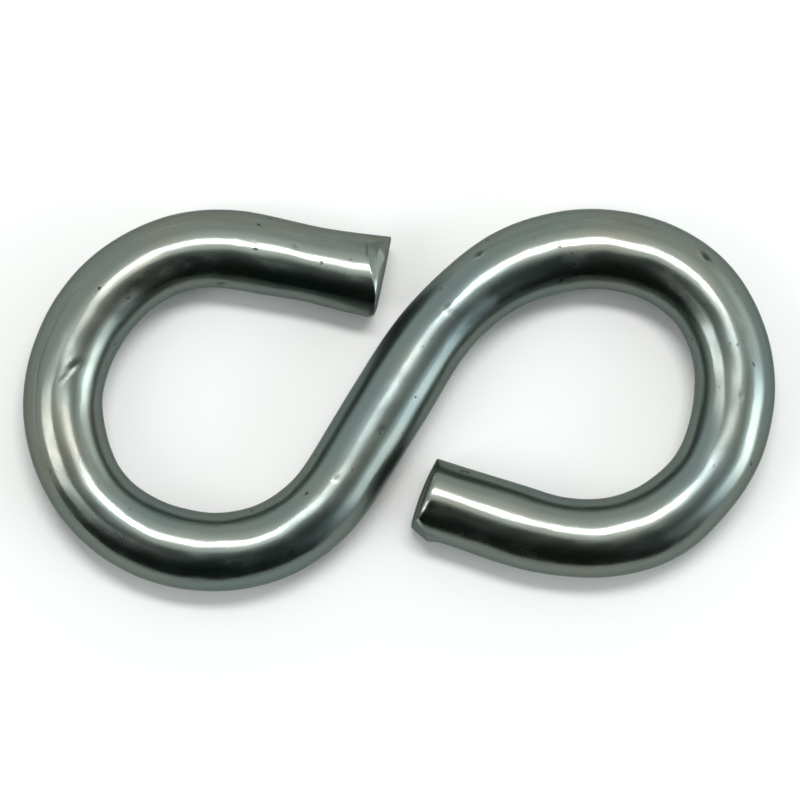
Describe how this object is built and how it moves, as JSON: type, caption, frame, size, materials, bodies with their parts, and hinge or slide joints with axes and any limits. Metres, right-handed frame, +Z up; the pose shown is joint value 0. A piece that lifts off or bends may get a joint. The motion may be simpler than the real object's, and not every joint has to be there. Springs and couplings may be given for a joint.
{
  "type": "s hook",
  "caption": "Closed-throat S hook bent from round zinc-plated steel wire, with two facing eyes joined by a slanting shank and sheared ends; links a chain, ring or rope to another.",
  "frame": {"origin": "on the plane the hook lies on, under the middle of its bounding box", "axes": "+X along the hook from its left eye to its right eye, +Y across it on the side where the left cut end is, +Z up out of the plane of the bend"},
  "size_m": [0.076, 0.0386, 0.0079],
  "materials": {
    "zinc_plated_wire": "bright zinc plate over drawn steel wire, with die lines, bending marks and small nicks"
  },
  "bodies": {
    "root": {"hook": "zinc_plated_wire"}
  },
  "joints": []
}
